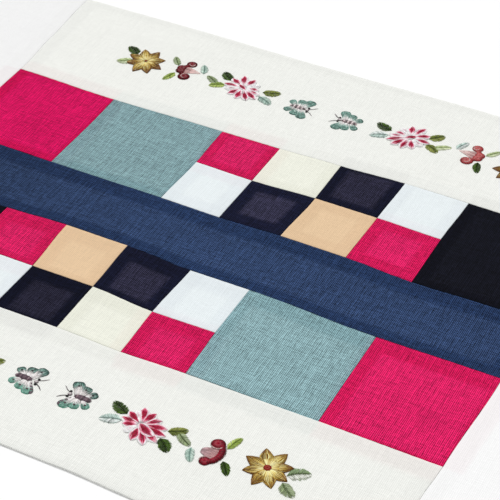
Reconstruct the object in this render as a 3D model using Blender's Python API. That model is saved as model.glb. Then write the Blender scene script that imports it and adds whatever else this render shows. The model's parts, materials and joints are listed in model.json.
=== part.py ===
# Embroidered patchwork mat lying flat: twenty-seven cut pieces of cloth, and sixteen embroidered motifs
# on its two long borders. +X runs along the mat, +Y to its far side and +Z up. The origin is under the
# middle of the mat. Sizes in the tables are in millimetres, and the meshes are built in metres.

import math
from collections import namedtuple

import bmesh
import bpy
from mathutils import Vector
from mathutils.geometry import delaunay_2d_cdt

# Driving dimensions of the cloth
SMALL_SQUARE = 50.0
FUCHSIA_WIDTH = 87.0
TEAL_WIDTH = 95.3
BLACK_WIDTH = 90.1
BAND_DEPTH = 64.7
NEAR_BORDER_DEPTH = 116.0
FAR_BORDER_DEPTH = 120.7
END_WIDTH = 119.0
THICKNESS = 1.2
SEAM_GAP = 0.3
EDGE_ROUNDING = 0.35
STATION_SPACING = 12.5

# Driving dimensions of the embroidery
RELIEF_LIFT = 0.3
RELIEF_EDGE = 0.3
LEAF_RIDGE = 0.7
PETAL_RIDGE = 0.9

MM = 0.001

# Places worked out from the driving dimensions
STRIP_DEPTH = 2 * SMALL_SQUARE
PATCHWORK_WIDTH = FUCHSIA_WIDTH + TEAL_WIDTH + 4 * SMALL_SQUARE + BLACK_WIDTH
MAT_DEPTH = NEAR_BORDER_DEPTH + 2 * STRIP_DEPTH + BAND_DEPTH + FAR_BORDER_DEPTH
LEFT = -PATCHWORK_WIDTH / 2
RIGHT = PATCHWORK_WIDTH / 2
NEAR_HEM = -MAT_DEPTH / 2
NEAR_SEAM = NEAR_HEM + NEAR_BORDER_DEPTH
BAND_NEAR = NEAR_SEAM + STRIP_DEPTH
BAND_FAR = BAND_NEAR + BAND_DEPTH
FAR_SEAM = BAND_FAR + STRIP_DEPTH
FAR_HEM = FAR_SEAM + FAR_BORDER_DEPTH

# The hand-sewn seams wander: how far each one lies off its straight line, at distances along it.
Wander = namedtuple("Wander", "along off")

# Seams along the mat. Distances run from the left seam, and off is towards the far side.
CROSS_WANDER = {
    "near_hem": [Wander(0, 3.0), Wander(215, 3.6), Wander(262, 3.0), Wander(322, 0.0), Wander(470, 1.5)],
    "near_seam": [Wander(90, 0.4), Wander(146, 1.4), Wander(191, 1.6), Wander(241, -0.2),
                  Wander(289, 1.1), Wander(386, 0.6), Wander(472, -0.4)],
    "near_mid": [Wander(90, 1.0), Wander(142, 0.9), Wander(190, 0.7), Wander(240, -3.5), Wander(288, -3.0)],
    "band_near": [Wander(0, 0.2), Wander(89, 0.5), Wander(138, 3.0), Wander(189, 2.7), Wander(241, -1.2),
                  Wander(288, -1.0), Wander(385, -5.4), Wander(472, -5.2)],
    "band_far": [Wander(42, 1.0), Wander(88, 0.3), Wander(182, -0.3), Wander(231, -1.4),
                 Wander(280, -0.1), Wander(331, -0.5), Wander(384, -4.0), Wander(449, -2.6)],
    "far_mid": [Wander(184, 2.1), Wander(231, 0.7), Wander(282, 3.2), Wander(332, 2.9), Wander(383, 1.4)],
    "far_seam": [Wander(0, -1.2), Wander(87, -3.7), Wander(183, -2.5), Wander(232, -2.0),
                 Wander(282, -0.2), Wander(334, 2.1), Wander(385, 1.6), Wander(472, 0.4)],
    "far_hem": [Wander(0, -1.2), Wander(100, -0.6), Wander(210, -1.4), Wander(365, 0.0), Wander(472, -0.9)],
}

# Seams across the mat. Distances run from the near edge of the patchwork, and off is towards +X.
COLUMN_WANDER = {
    "left_end": [Wander(-114, 0.0), Wander(40, 1.6), Wander(190, 0.5), Wander(380, 1.4)],
    "left_seam": [Wander(-114, 0.6), Wander(0, 0.0), Wander(270, 0.0), Wander(315, -3.4), Wander(376, -7.4)],
    "right_seam": [Wander(-114, -3.6), Wander(-35, -1.8), Wander(0, 0.2), Wander(90, 3.6),
                   Wander(164, 2.6), Wander(265, 0.4), Wander(384, 1.0)],
    "right_end": [Wander(-114, -1.0), Wander(60, -0.2), Wander(230, -1.5), Wander(384, 0.0)],
    "near_1": [Wander(0, 1.0), Wander(50, 0.4), Wander(100, -0.6)],
    "near_2": [Wander(0, 0.8), Wander(50, 1.4), Wander(100, -1.9)],
    "near_3": [Wander(0, 0.7), Wander(50, 0.3), Wander(100, -1.4)],
    "near_4": [Wander(0, 1.1), Wander(50, -0.5), Wander(100, 1.3)],
    "near_5": [Wander(0, -0.8), Wander(50, -2.4), Wander(100, -2.5)],
    "near_6": [Wander(0, 0.8), Wander(50, 0.2), Wander(100, 0.0)],
    "far_1": [Wander(165, 0.9), Wander(215, 1.4), Wander(265, 0.4)],
    "far_2": [Wander(165, -0.2), Wander(215, 1.6), Wander(265, 0.4)],
    "far_3": [Wander(165, -1.5), Wander(215, -0.8), Wander(265, -0.6)],
    "far_4": [Wander(165, -2.7), Wander(215, 0.2), Wander(265, -0.2)],
    "far_5": [Wander(165, -0.9), Wander(215, 0.1), Wander(265, 1.3)],
    "far_6": [Wander(165, 1.4), Wander(215, 0.8), Wander(265, 2.6)],
}

# Straight place of each seam
CROSS_PLACE = {
    "near_hem": NEAR_HEM,
    "near_seam": NEAR_SEAM,
    "near_mid": NEAR_SEAM + SMALL_SQUARE,
    "band_near": BAND_NEAR,
    "band_far": BAND_FAR,
    "far_mid": BAND_FAR + SMALL_SQUARE,
    "far_seam": FAR_SEAM,
    "far_hem": FAR_HEM,
}


def column_places():
    """The straight place of each seam across the mat. The near strip starts at its black end."""
    places = {
        "left_end": LEFT - END_WIDTH,
        "left_seam": LEFT,
        "right_seam": RIGHT,
        "right_end": RIGHT + END_WIDTH,
    }
    places["far_1"] = LEFT + FUCHSIA_WIDTH
    places["near_6"] = RIGHT - FUCHSIA_WIDTH
    for column in range(5):
        places[f"far_{column + 2}"] = LEFT + FUCHSIA_WIDTH + TEAL_WIDTH + column * SMALL_SQUARE
        places[f"near_{column + 1}"] = LEFT + BLACK_WIDTH + column * SMALL_SQUARE
    return places


COLUMN_PLACE = column_places()
CROSS_ORDER = list(CROSS_PLACE)
NEAR_COLUMNS = ["left_seam"] + [f"near_{n}" for n in range(1, 7)] + ["right_seam"]
FAR_COLUMNS = ["left_seam"] + [f"far_{n}" for n in range(1, 7)] + ["right_seam"]
NEAR_CROSSES = CROSS_ORDER[:4]

# Colour, roughness and metallic value of each cloth and thread
Finish = namedtuple("Finish", "red green blue roughness metallic")
FINISHES = {
    "cloth_fuchsia": Finish(0.61, 0.009, 0.09, 0.85, 0.0),
    "cloth_teal": Finish(0.21, 0.35, 0.37, 0.85, 0.0),
    "cloth_ivory": Finish(0.86, 0.87, 0.75, 0.85, 0.0),
    "cloth_ice": Finish(0.80, 0.88, 0.90, 0.85, 0.0),
    "cloth_aubergine": Finish(0.022, 0.019, 0.036, 0.85, 0.0),
    "cloth_black": Finish(0.006, 0.008, 0.012, 0.85, 0.0),
    "cloth_peach": Finish(0.79, 0.57, 0.34, 0.85, 0.0),
    "cloth_navy": Finish(0.030, 0.053, 0.125, 0.85, 0.0),
    "cloth_cream": Finish(0.85, 0.86, 0.82, 0.85, 0.0),
    "cloth_white": Finish(0.90, 0.90, 0.90, 0.85, 0.0),
    "thread_gold": Finish(0.45, 0.30, 0.07, 0.45, 0.0),
    "thread_red": Finish(0.22, 0.02, 0.03, 0.45, 0.0),
    "thread_pink": Finish(0.70, 0.12, 0.25, 0.45, 0.0),
    "thread_green": Finish(0.10, 0.27, 0.20, 0.45, 0.0),
}

# Cloth pieces that are not small squares, each between two cross seams and two seams across the mat
Cloth = namedtuple("Cloth", "name near far left right finish")
LARGE_CLOTHS = [
    Cloth("border_near", "near_hem", "near_seam", "left_seam", "right_seam", "cloth_cream"),
    Cloth("border_far", "far_seam", "far_hem", "left_seam", "right_seam", "cloth_cream"),
    Cloth("end_left", "near_hem", "far_hem", "left_end", "left_seam", "cloth_white"),
    Cloth("end_right", "near_hem", "far_hem", "right_seam", "right_end", "cloth_white"),
    Cloth("band", "band_near", "band_far", "left_seam", "right_seam", "cloth_navy"),
    Cloth("far_fuchsia_large", "band_far", "far_seam", "left_seam", "far_1", "cloth_fuchsia"),
    Cloth("far_teal_large", "band_far", "far_seam", "far_1", "far_2", "cloth_teal"),
    Cloth("far_black_large", "band_far", "far_seam", "far_6", "right_seam", "cloth_black"),
    Cloth("near_fuchsia_large", "near_seam", "band_near", "near_6", "right_seam", "cloth_fuchsia"),
    Cloth("near_teal_large", "near_seam", "band_near", "near_5", "near_6", "cloth_teal"),
    Cloth("near_black_large", "near_seam", "band_near", "left_seam", "near_1", "cloth_black"),
]

# The four columns of small squares, counted from the strip's fuchsia end
Column = namedtuple("Column", "outer inner")
SQUARE_COLUMNS = [
    Column("cloth_fuchsia", "cloth_ice"),
    Column("cloth_ivory", "cloth_aubergine"),
    Column("cloth_aubergine", "cloth_peach"),
    Column("cloth_ice", "cloth_fuchsia"),
]


def small_squares():
    """The sixteen small squares. The near strip is the far strip turned by half a turn."""
    squares = []
    for number, column in enumerate(SQUARE_COLUMNS, start=1):
        far_left, far_right = f"far_{number + 1}", f"far_{number + 2}"
        near_left, near_right = f"near_{5 - number}", f"near_{6 - number}"
        name = f"square_{number}"
        squares += [
            Cloth(f"far_{name}_outer", "far_mid", "far_seam", far_left, far_right, column.outer),
            Cloth(f"far_{name}_inner", "band_far", "far_mid", far_left, far_right, column.inner),
            Cloth(f"near_{name}_outer", "near_seam", "near_mid", near_left, near_right, column.outer),
            Cloth(f"near_{name}_inner", "near_mid", "band_near", near_left, near_right, column.inner),
        ]
    return squares


def wander_at(rows, along):
    """The seam's offset at a distance along it: soft steps from row to row, level past both ends."""
    if along <= rows[0].along:
        return rows[0].off
    for before, after in zip(rows, rows[1:]):
        if along <= after.along:
            share = (along - before.along) / (after.along - before.along)
            soft = share * share * (3 - 2 * share)
            return before.off + soft * (after.off - before.off)
    return rows[-1].off


def cross_y(seam, x):
    return CROSS_PLACE[seam] + wander_at(CROSS_WANDER[seam], x - LEFT)


def column_x(seam, y):
    return COLUMN_PLACE[seam] + wander_at(COLUMN_WANDER[seam], y - NEAR_SEAM)


def crossing(cross, column):
    """Where a seam along the mat meets a seam across it."""
    x = COLUMN_PLACE[column]
    for _ in range(6):
        y = cross_y(cross, x)
        x = column_x(column, y)
    return x, y


def stations(knots):
    """The knots with evenly spaced values between them, at most about STATION_SPACING apart."""
    values = []
    for start, end in zip(knots, knots[1:]):
        count = max(1, round((end - start) / STATION_SPACING))
        values += [start + (end - start) * step / count for step in range(count)]
    return values + [knots[-1]]


def cross_edge(cross, left, right):
    """Points of a seam along the mat, from its crossing with one column seam to another."""
    columns = NEAR_COLUMNS if cross in NEAR_CROSSES else FAR_COLUMNS
    if left in columns and right in columns:
        used = columns[columns.index(left):columns.index(right) + 1]
    else:
        used = [left, right]
    knots = [crossing(cross, column)[0] for column in used]
    return [(x, cross_y(cross, x)) for x in stations(knots)]


def column_edge(column, near, far):
    """Points of a seam across the mat, from its crossing with one cross seam to another."""
    used = CROSS_ORDER[CROSS_ORDER.index(near):CROSS_ORDER.index(far) + 1]
    knots = [crossing(cross, column)[1] for cross in used]
    return [(column_x(column, y), y) for y in stations(knots)]


def outline(cloth, inset):
    """The piece's outline, anticlockwise from its near left corner, moved inwards by inset."""
    near = [(x, y + inset) for x, y in cross_edge(cloth.near, cloth.left, cloth.right)]
    far = [(x, y - inset) for x, y in cross_edge(cloth.far, cloth.left, cloth.right)]
    left = [(x + inset, y) for x, y in column_edge(cloth.left, cloth.near, cloth.far)]
    right = [(x - inset, y) for x, y in column_edge(cloth.right, cloth.near, cloth.far)]
    for edge in (near, far):
        edge[0] = (edge[0][0] + inset, edge[0][1])
        edge[-1] = (edge[-1][0] - inset, edge[-1][1])
    for edge in (left, right):
        edge[0] = (edge[0][0], edge[0][1] + inset)
        edge[-1] = (edge[-1][0], edge[-1][1] - inset)
    return near[:-1] + right[:-1] + far[:0:-1] + left[:0:-1]


def new_object(name, bm, finish):
    """A named object of the mesh, with its material."""
    bmesh.ops.recalc_face_normals(bm, faces=bm.faces)
    mesh = bpy.data.meshes.new(name)
    bm.to_mesh(mesh)
    bm.free()
    mesh.materials.append(material(finish))
    item = bpy.data.objects.new(name, mesh)
    bpy.context.scene.collection.objects.link(item)
    return item


def material(name):
    """The material of that name, made the first time it is asked for."""
    if name in bpy.data.materials:
        return bpy.data.materials[name]
    look = FINISHES[name]
    made = bpy.data.materials.new(name)
    made.use_nodes = True
    made.diffuse_color = (look.red, look.green, look.blue, 1.0)
    shader = made.node_tree.nodes["Principled BSDF"]
    shader.inputs["Base Color"].default_value = (look.red, look.green, look.blue, 1.0)
    shader.inputs["Roughness"].default_value = look.roughness
    shader.inputs["Metallic"].default_value = look.metallic
    return made


def add_cloth(cloth):
    """One cut piece: a flat sheet with its uneven outline, its upper edge rounded where it folds under."""
    half_gap = SEAM_GAP / 2
    levels = [
        (0.0, half_gap),
        (THICKNESS - EDGE_ROUNDING, half_gap),
        (THICKNESS, half_gap + EDGE_ROUNDING),
    ]
    bm = bmesh.new()
    loops = []
    for height, inset in levels:
        points = outline(cloth, inset)
        loops.append([bm.verts.new((x * MM, y * MM, height * MM)) for x, y in points])
    for lower, upper in zip(loops, loops[1:]):
        for index in range(len(lower)):
            after = (index + 1) % len(lower)
            bm.faces.new((lower[index], lower[after], upper[after], upper[index]))
    bm.faces.new(loops[0][::-1])
    bm.faces.new(loops[-1])
    new_object(cloth.name, bm, cloth.finish)


# A motif's leaves, from base to tip. Its +X side faces the middle of its border, and its +Y side is the
# far side in the left half of the far border.
Leaf = namedtuple("Leaf", "base_x base_y tip_x tip_y width")
LEAVES = {
    "star": [
        Leaf(-8.0, -1.6, -23.0, -11.5, 7.5),
        Leaf(-8.0, 3.6, -23.5, 14.8, 8.5),
    ],
    "fungus": [
        Leaf(-5.0, 2.0, -15.8, 14.3, 5.0),
        Leaf(-4.5, -3.0, -9.0, -20.5, 5.0),
        Leaf(14.5, 0.5, 10.2, 13.8, 5.0),
    ],
    "dahlia": [
        Leaf(-10.5, 3.4, -23.0, 15.0, 8.0),
        Leaf(-11.0, -2.2, -26.3, -9.0, 7.0),
        Leaf(-18.5, -5.4, -33.0, 2.4, 5.5),
        Leaf(11.5, -2.4, 30.0, -12.4, 6.5),
        Leaf(11.5, 0.2, 32.0, 6.4, 7.5),
    ],
    "butterfly": [],
}

# Round lobes of the fungus, and the wing petals of the butterfly whose head points to +X
Lobe = namedtuple("Lobe", "x y radius")
FUNGUS_LOBES = [
    Lobe(-4.2, 0.6, 4.6),
    Lobe(-0.6, 6.0, 3.2),
    Lobe(1.2, 10.6, 4.2),
    Lobe(0.2, -5.0, 3.4),
    Lobe(2.8, -9.0, 4.4),
]
FUNGUS_STEM = Leaf(-3.5, 0.4, 15.6, 1.4, 9.0)
WINGS = [
    Leaf(2.5, 0.5, 7.5, 15.0, 10.0),
    Leaf(0.5, 0.5, -1.8, 12.5, 8.0),
    Leaf(-1.5, 0.5, -10.4, 8.4, 7.5),
    Leaf(2.5, -0.5, 7.5, -15.0, 10.0),
    Leaf(0.5, -0.5, -1.8, -12.5, 8.0),
    Leaf(-1.5, -0.5, -10.4, -8.4, 7.5),
]
BUTTERFLY_BODY = Leaf(-8.0, 0.0, 7.5, 0.0, 4.4)

# A flower's petals round its middle: how many, how far the tips and the notches between them reach
Rosette = namedtuple("Rosette", "petals tip notch shoulder turn")
STAR_ROSETTE = Rosette(8, 17.6, 9.4, 0.0, 0.40)
DAHLIA_ROSETTE = Rosette(11, 17.4, 12.4, 0.84, 0.25)
DAHLIA_HEART = Leaf(-4.5, 1.2, 5.5, -2.0, 6.0)
TIP_UNEVENNESS = 0.045
LOBE_SIDES = 9

# A leaf's half width along its length, as shares of its greatest half width
LeafRib = namedtuple("LeafRib", "along width")
LEAF_RIBS = [LeafRib(0.30, 0.86), LeafRib(0.62, 0.92)]
WING_RIBS = [LeafRib(0.45, 0.62), LeafRib(0.84, 1.0)]

# The triangulation's own settings: triangles inside the outlines, and points this near count as one
TRIANGLES_INSIDE = 1
MERGE_DISTANCE = 0.02

# A surface is a list of points (x, y, height) and a list of triangles between them.


def leaf_surface(leaf, ribs, ridge):
    """A pointed oval with a ridge along its middle."""
    base = Vector((leaf.base_x, leaf.base_y))
    along = Vector((leaf.tip_x, leaf.tip_y)) - base
    side = Vector((-along.y, along.x)).normalized() * leaf.width / 2
    points = [(*base, RELIEF_EDGE)]
    for rib in ribs:
        middle = base + along * rib.along
        points.append((*(middle + side * rib.width), RELIEF_EDGE))
        points.append((*middle, ridge))
        points.append((*(middle - side * rib.width), RELIEF_EDGE))
    points.append((*(base + along), RELIEF_EDGE))
    triangles = [(0, 2, 1), (0, 3, 2), (1, 2, 5), (1, 5, 4), (2, 3, 6), (2, 6, 5), (4, 5, 7), (5, 6, 7)]
    return points, triangles


def polar(radius, angle, height):
    return radius * math.cos(angle), radius * math.sin(angle), height


def lobe_surface(lobe, ridge):
    """A round mound."""
    points = [(lobe.x, lobe.y, ridge)]
    for index in range(LOBE_SIDES):
        x, y, height = polar(lobe.radius, math.tau * index / LOBE_SIDES, RELIEF_EDGE)
        points.append((lobe.x + x, lobe.y + y, height))
    triangles = [(0, 1 + index, 1 + (index + 1) % LOBE_SIDES) for index in range(LOBE_SIDES)]
    return points, triangles


def rosette_surface(flower):
    """Petals round a middle, each with a ridge, and a notch between each two."""
    sector = math.tau / flower.petals
    ring = []
    points = [(0.0, 0.0, PETAL_RIDGE)]
    triangles = []
    for index in range(flower.petals):
        angle = flower.turn + index * sector
        tip = flower.tip * (1 + TIP_UNEVENNESS * math.sin(2.4 * index + 1))
        first = len(points)
        points.append(polar(flower.notch, angle - sector / 2, RELIEF_EDGE))
        points.append(polar(tip * 0.6, angle, PETAL_RIDGE))
        points.append(polar(tip, angle, RELIEF_EDGE))
        if flower.shoulder:
            reach = tip * flower.shoulder
            points.append(polar(reach, angle - sector * 0.36, RELIEF_EDGE))
            points.append(polar(reach, angle + sector * 0.36, RELIEF_EDGE))
        ring.append(first)
    for index, first in enumerate(ring):
        after = ring[(index + 1) % len(ring)]
        ridge, tip = first + 1, first + 2
        triangles += [(0, first, ridge), (0, ridge, after)]
        if flower.shoulder:
            right, left = first + 3, first + 4
            triangles += [(first, right, ridge), (right, tip, ridge)]
            triangles += [(tip, left, ridge), (left, after, ridge)]
        else:
            triangles += [(first, tip, ridge), (tip, after, ridge)]
    return points, triangles


def height_in(surface, x, y):
    """The surface's height over a point, or None where the point is outside it."""
    points, triangles = surface
    best = None
    for corners in triangles:
        (ax, ay, ah), (bx, by, bh), (cx, cy, ch) = (points[corner] for corner in corners)
        area = (bx - ax) * (cy - ay) - (cx - ax) * (by - ay)
        b = ((x - ax) * (cy - ay) - (cx - ax) * (y - ay)) / area
        c = ((bx - ax) * (y - ay) - (x - ax) * (by - ay)) / area
        a = 1 - b - c
        if min(a, b, c) > -0.001:
            height = a * ah + b * bh + c * ch
            best = height if best is None else max(best, height)
    return best


def add_relief(name, surfaces, centre, facing, finish):
    """One low relief, the union of its surfaces seen from above, over a flat underside. Facing holds 1 or -1
    for each of X and Y, and -1 mirrors the motif that way."""
    flat_points = []
    flat_faces = []
    for points, triangles in surfaces:
        start = len(flat_points)
        flat_points += [Vector((x, y)) for x, y, _ in points]
        flat_faces += [[start + corner for corner in corners] for corners in triangles]
    found = delaunay_2d_cdt(flat_points, [], flat_faces, TRIANGLES_INSIDE, MERGE_DISTANCE)
    places, faces = found[0], found[2]
    floor = THICKNESS + RELIEF_LIFT
    bm = bmesh.new()
    upper = []
    lower = []
    for x, y in places:
        heights = [height_in(surface, x, y) for surface in surfaces]
        height = max((value for value in heights if value is not None), default=RELIEF_EDGE)
        world_x = centre[0] + facing[0] * x
        world_y = centre[1] + facing[1] * y
        upper.append(bm.verts.new((world_x * MM, world_y * MM, (floor + height) * MM)))
        lower.append(bm.verts.new((world_x * MM, world_y * MM, floor * MM)))
    for face in faces:
        bm.faces.new([upper[corner] for corner in face])
        bm.faces.new([lower[corner] for corner in reversed(face)])
    below = dict(zip(upper, lower))
    rim = [edge for edge in bm.edges if len(edge.link_faces) == 1 and edge.verts[0] in below]
    for edge in rim:
        first, second = edge.verts
        bm.faces.new((first, second, below[second], below[first]))
    loose = [vert for vert in bm.verts if not vert.link_faces]
    bmesh.ops.delete(bm, geom=loose, context="VERTS")
    new_object(name, bm, finish)


def motif_surfaces(kind):
    """The surfaces that make up one motif and the leaves that touch it."""
    leaves = [leaf_surface(leaf, LEAF_RIBS, LEAF_RIDGE) for leaf in LEAVES[kind]]
    if kind == "star":
        return [rosette_surface(STAR_ROSETTE)] + leaves
    if kind == "dahlia":
        heart = leaf_surface(DAHLIA_HEART, LEAF_RIBS, PETAL_RIDGE + 0.2)
        return [rosette_surface(DAHLIA_ROSETTE), heart] + leaves
    if kind == "fungus":
        stem = leaf_surface(FUNGUS_STEM, LEAF_RIBS, LEAF_RIDGE)
        return [lobe_surface(lobe, PETAL_RIDGE) for lobe in FUNGUS_LOBES] + [stem] + leaves
    wings = [leaf_surface(wing, WING_RIBS, LEAF_RIDGE) for wing in WINGS]
    return wings + [leaf_surface(BUTTERFLY_BODY, LEAF_RIBS, PETAL_RIDGE)]


# The motifs, with how far each stands off its garland's line on the side that is far in the far border
Motif = namedtuple("Motif", "kind rise finish")
MOTIFS = [
    Motif("butterfly", -2.4, "thread_green"),
    Motif("dahlia", 1.5, "thread_pink"),
    Motif("fungus", 2.4, "thread_red"),
    Motif("star", -1.2, "thread_gold"),
]

# The garlands: the middle of each, the way its motifs' far side faces, and how far each kind of motif
# stands from the middle on both sides
Garland = namedtuple("Garland", "name middle_x y turn butterfly dahlia fungus star")
GARLANDS = [
    Garland("far", 5.3, 188.3, 1, 21.0, 72.2, 125.0, 158.9),
    Garland("near", -15.9, -189.2, -1, 19.7, 70.8, 120.8, 155.9),
]


def add_garland(garland):
    """The motifs of one border: a left half, and its mirror image to the right."""
    for side, outward in (("left", -1), ("right", 1)):
        for motif in MOTIFS:
            name = f"{garland.name}_{side}_{motif.kind}"
            centre_x = garland.middle_x + outward * getattr(garland, motif.kind)
            centre_y = garland.y + garland.turn * motif.rise
            facing = (-outward, garland.turn)
            add_relief(name, motif_surfaces(motif.kind), (centre_x, centre_y), facing, motif.finish)


def main():
    for item in list(bpy.data.objects):
        bpy.data.objects.remove(item)
    for cloth in LARGE_CLOTHS + small_squares():
        add_cloth(cloth)
    for garland in GARLANDS:
        add_garland(garland)


main()
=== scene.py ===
# Looks of the embroidered patchwork mat: sheets of sheer cloth with their edges turned under, and silk
# satin stitch on the two long borders. Tables are in millimetres, meshes are built in metres, and the
# frame is the model's own: +X along the mat, +Y to its far side, +Z up.

import json
import math
from collections import namedtuple

import bmesh
import bpy
import numpy as np
from mathutils import Matrix, Vector


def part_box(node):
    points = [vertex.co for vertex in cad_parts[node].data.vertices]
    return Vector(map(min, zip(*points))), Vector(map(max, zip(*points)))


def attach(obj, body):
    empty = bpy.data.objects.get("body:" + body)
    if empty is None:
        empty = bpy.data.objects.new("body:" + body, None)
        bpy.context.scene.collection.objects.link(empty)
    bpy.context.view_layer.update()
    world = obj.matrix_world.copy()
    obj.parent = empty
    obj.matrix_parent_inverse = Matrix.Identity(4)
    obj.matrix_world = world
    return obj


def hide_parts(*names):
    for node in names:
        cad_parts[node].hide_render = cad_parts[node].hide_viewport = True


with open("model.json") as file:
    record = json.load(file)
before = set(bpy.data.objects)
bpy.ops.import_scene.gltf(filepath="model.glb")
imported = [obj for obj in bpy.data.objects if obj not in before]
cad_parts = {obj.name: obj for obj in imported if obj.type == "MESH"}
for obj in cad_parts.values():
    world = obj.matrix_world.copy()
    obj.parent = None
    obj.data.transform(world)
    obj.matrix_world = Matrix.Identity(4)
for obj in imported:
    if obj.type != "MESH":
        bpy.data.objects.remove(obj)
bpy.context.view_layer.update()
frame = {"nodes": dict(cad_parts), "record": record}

MM = 0.001
BODY = "root"
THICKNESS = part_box("band")[1].z / MM

# The sheets' grids, how far each sheet reaches past its solid into the gap beside it, and the thickness of
# one layer of cloth
GRID_SPACING = 2.6
FEWEST_CELLS = 6
PAST_SOLID = 0.11
PLY = 0.42

# How the sheets lie: sunk between their edges, puckered beside them, and in slow waves
SINK = 0.28
SINK_START = 0.5
SINK_REACH = 12.0
PUCKER_HEIGHT = 0.10
PUCKER_REACH = 5.0
WAVE_HEIGHT = 0.16

# Something for each of the four sides of a piece: widths, or the outline's points in order
Sides = namedtuple("Sides", "near far left right")

# How far the turned-under edges of each kind of piece reach under it: least where a seam's cloth is pressed
# under the neighbour
LEAST_TURN = 2.5
TURNED_UNDER = {
    "border_far": Sides(12.0, 8.0, 12.0, 12.0),
    "border_near": Sides(8.0, 14.0, 12.0, 12.0),
    "end": Sides(8.0, 8.0, 12.0, 12.0),
    "band": Sides(10.0, 15.0, 10.0, 10.0),
    "far_large": Sides(8.0, LEAST_TURN, 9.5, LEAST_TURN),
    "far_outer": Sides(8.0, LEAST_TURN, 8.5, 8.0),
    "far_inner": Sides(11.5, 10.5, 10.0, 10.0),
    "near_large": Sides(LEAST_TURN, 14.5, 9.5, LEAST_TURN),
    "near_outer": Sides(LEAST_TURN, 12.5, 10.0, 8.0),
    "near_inner": Sides(5.5, 14.5, 10.5, 8.5),
}

# The silk: a stitch's width, its height as a share of that, how far apart stitches lie, how far their ends
# are drawn down, how many points each has along it, and the points' shares of its length
THREAD_WIDTH = 0.36
THREAD_FLATNESS = 0.62
STITCH_PITCH = 0.31
STITCH_DIP = 0.14
STATIONS = 5
ALONG = np.linspace(0, 1, STATIONS)


def linear(red, green, blue):
    """A colour given as 0 to 255 in sRGB, as linear values."""
    share = np.array([red, green, blue]) / 255
    return np.where(share <= 0.04045, share / 12.92, ((share + 0.055) / 1.055) ** 2.4)


# Each cloth's colour where it is single, as 0 to 255 in sRGB, what share of that light is left where it is
# double, how much of a neighbour's turned-in edge shows through it, and how strong its weave and its uneven
# threads are
Look = namedtuple("Look", "colour double tint weave slub")
LOOKS = {
    "cloth_fuchsia": Look((216, 33, 97), (0.89, 0.58, 0.75), 0.00, 0.74, 0.36),
    "cloth_teal": Look((137, 169, 174), (0.86, 0.91, 0.92), 0.02, 0.70, 0.38),
    "cloth_ivory": Look((240, 241, 228), (0.98, 0.98, 0.97), 0.03, 0.10, 0.07),
    "cloth_ice": Look((235, 242, 244), (0.98, 0.98, 0.99), 0.03, 0.07, 0.05),
    "cloth_aubergine": Look((42, 41, 60), (0.23, 0.29, 0.44), 0.00, 1.80, 1.30),
    "cloth_black": Look((14, 15, 24), (0.60, 0.62, 0.72), 0.00, 1.50, 1.50),
    "cloth_peach": Look((231, 200, 163), (0.965, 0.95, 0.94), 0.01, 0.10, 0.08),
    # The navy's double share is partly its doubled cloth and partly painted shade of the folds at its edges
    "cloth_navy": Look((43, 60, 92), (0.58, 0.66, 0.74), 0.00, 1.60, 0.95),
    "cloth_cream": Look((241, 242, 237), (0.97, 0.97, 0.97), 0.05, 0.085, 0.08),
    "cloth_white": Look((246, 246, 246), (0.985, 0.985, 0.985), 0.05, 0.04, 0.04),
}

# Painted light and shade: whole pieces slightly darker or lighter, as a share of their light
PAINTED_LIGHT_SHARES = {
    "end_left": 0.975, "end_right": 1.035,
    "far_fuchsia_large": (0.90, 0.36, 0.84), "far_teal_large": 0.88, "far_square_1_outer": 0.94,
    "far_square_3_outer": 0.72, "near_square_3_outer": 0.56, "near_square_2_inner": 0.86,
    "near_square_1_outer": 0.96, "near_square_4_inner": 0.93,
}

# A colour that grows darker or lighter along a piece: its share of light at each place along X
SHARES_ALONG_X = {"band": ((-236.0, 0.74), (-150.0, 0.84), (-40.0, 1.0))}
EVEN_ALONG_X = ((0, 1),)

SLOTS = {row["node"]: row["material_slot"] for row in frame["record"]["subparts"]}

# Soft creases left by folding and handling: a line of that half width, raised or sunk by that much. All
# sway a little and run out over the same length at both ends.
CREASE_SWAY = 1.5
CREASE_SWAY_LENGTH = 19.0
CREASE_END = 25.0
Crease = namedtuple("Crease", "from_x from_y to_x to_y half_width rise")
CREASES = [
    Crease(52.0, -38.0, 54.0, 34.0, 3.0, -0.16),
    Crease(-226.0, 6.0, -150.0, 8.0, 2.6, -0.34),
    Crease(-170.0, -8.0, -70.0, -4.0, 3.0, -0.26),
    Crease(-110.0, 14.0, -10.0, 12.0, 3.5, 0.26),
    Crease(-40.0, -2.0, 90.0, -10.0, 4.0, 0.24),
    Crease(100.0, 22.0, 236.0, 8.0, 5.0, 0.14),
    Crease(60.0, 160.0, 190.0, 150.0, 4.0, 0.16),
    Crease(-230.0, 215.0, -60.0, 226.0, 6.0, 0.16),
    Crease(-60.0, -222.0, 120.0, -232.0, 6.0, 0.14),
]


def soft_step(low, high, value):
    """0 below low, 1 above high, and a soft rise between them."""
    share = np.clip((value - low) / (high - low), 0, 1)
    return share * share * (3 - 2 * share)


def lie(x, y):
    """How far the resting cloth stands off its level: slow waves and the creases."""
    height = WAVE_HEIGHT * (
        0.5 * np.sin(x / 31 + 0.6 * np.sin(y / 47)) * np.sin(y / 38 + 1.1)
        + 0.3 * np.sin(x / 17 - y / 23 + 0.4)
        + 0.2 * np.sin(x / 9 + y / 13 + 2.0)
    )
    for crease in CREASES:
        start = np.array([crease.from_x, crease.from_y])
        along = np.array([crease.to_x, crease.to_y]) - start
        length = np.linalg.norm(along)
        along = along / length
        run = (x - start[0]) * along[0] + (y - start[1]) * along[1]
        aside = (y - start[1]) * along[0] - (x - start[0]) * along[1]
        aside = aside + CREASE_SWAY * np.sin(run / CREASE_SWAY_LENGTH)
        ends = soft_step(0, CREASE_END, run) * soft_step(0, CREASE_END, length - run)
        height = height + crease.rise * ends * np.exp(-(aside / crease.half_width) ** 2)
    return height


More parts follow.
